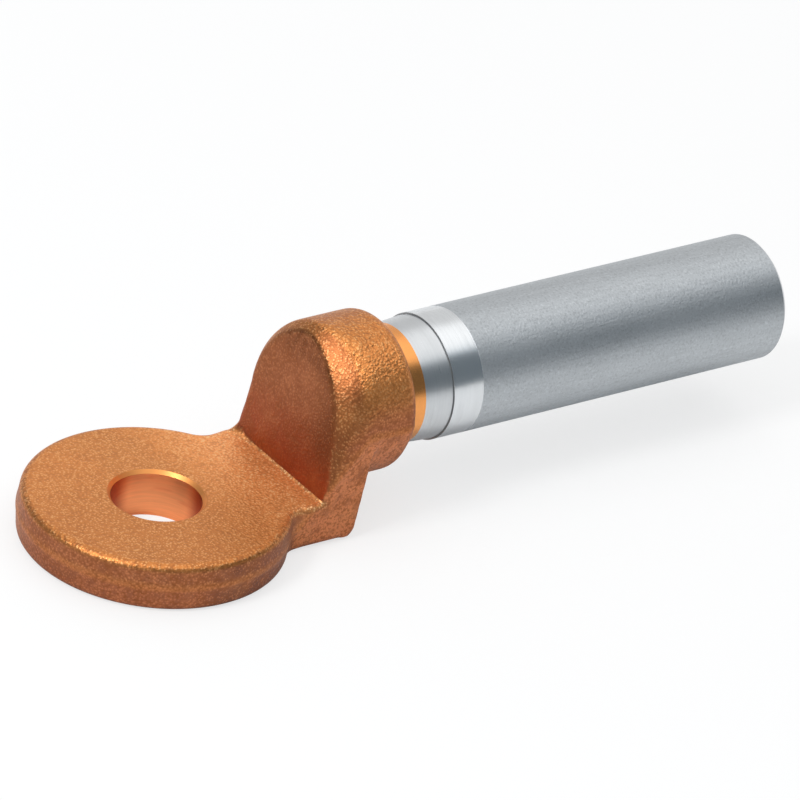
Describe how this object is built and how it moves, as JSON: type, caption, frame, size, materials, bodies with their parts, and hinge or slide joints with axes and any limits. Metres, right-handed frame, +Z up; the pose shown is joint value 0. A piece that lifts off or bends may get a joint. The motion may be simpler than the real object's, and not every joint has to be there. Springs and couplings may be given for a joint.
{
  "type": "bimetallic compression lug",
  "caption": "Cable lug: round forged copper palm with a stud hole, neck and raised boss, friction welded to a plain aluminium barrel with a blind cable bore.",
  "frame": {"origin": "centre of the stud hole on the underside of the palm", "axes": "+X along the barrel towards its open end, +Z up, out of the top of the palm, +Y across"},
  "size_m": [0.1225, 0.0388, 0.0282],
  "materials": {
    "copper": "sand-blasted copper, with a turned collar and a drilled hole",
    "aluminium": "matte drawn surface, turned bright next to the weld"
  },
  "bodies": {
    "root": {"copper_palm": "copper", "aluminium_barrel": "aluminium"}
  },
  "joints": []
}
